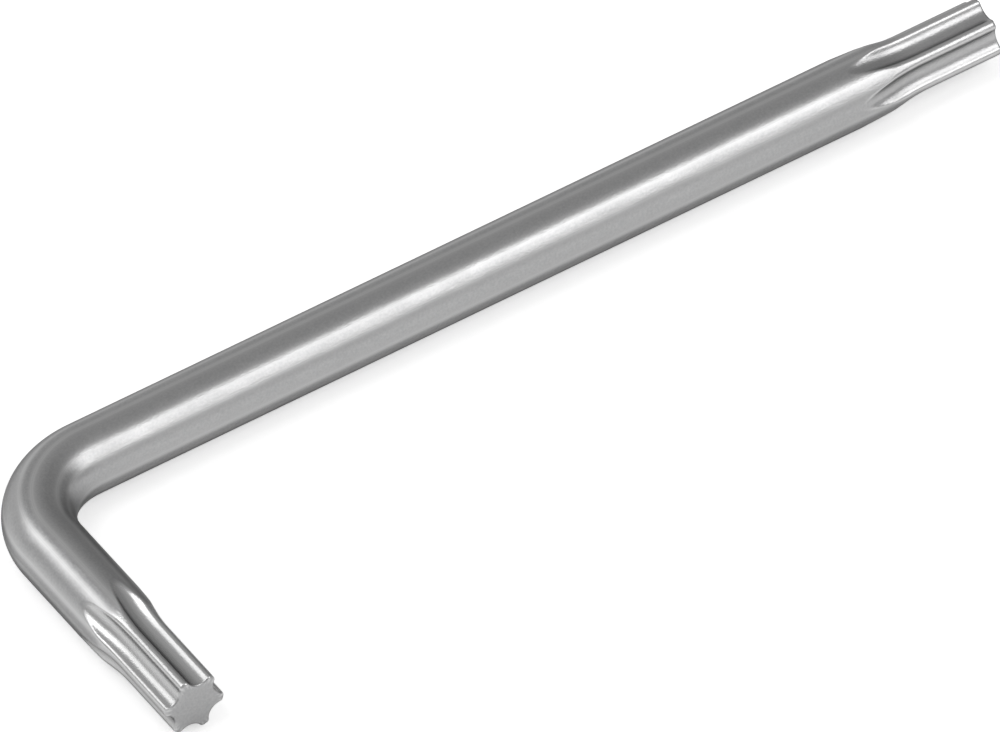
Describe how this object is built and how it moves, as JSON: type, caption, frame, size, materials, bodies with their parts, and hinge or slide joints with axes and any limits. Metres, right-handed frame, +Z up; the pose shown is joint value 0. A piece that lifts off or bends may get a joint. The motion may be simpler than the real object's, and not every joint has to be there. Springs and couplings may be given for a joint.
{
  "type": "star key",
  "caption": "L-shaped bent round-bar hand key with a solid six-lobe star tip on each arm, for turning star-recess screws.",
  "frame": {"origin": "on the surface that the key lies on, under the middle of the key's box", "axes": "+X along the long arm towards its tip, -Y along the short arm towards its tip, +Z up, square to the plane of the bend"},
  "size_m": [0.0944, 0.0316, 0.006],
  "materials": {
    "steel": "satin"
  },
  "bodies": {
    "root": {"key": "steel"}
  },
  "joints": []
}
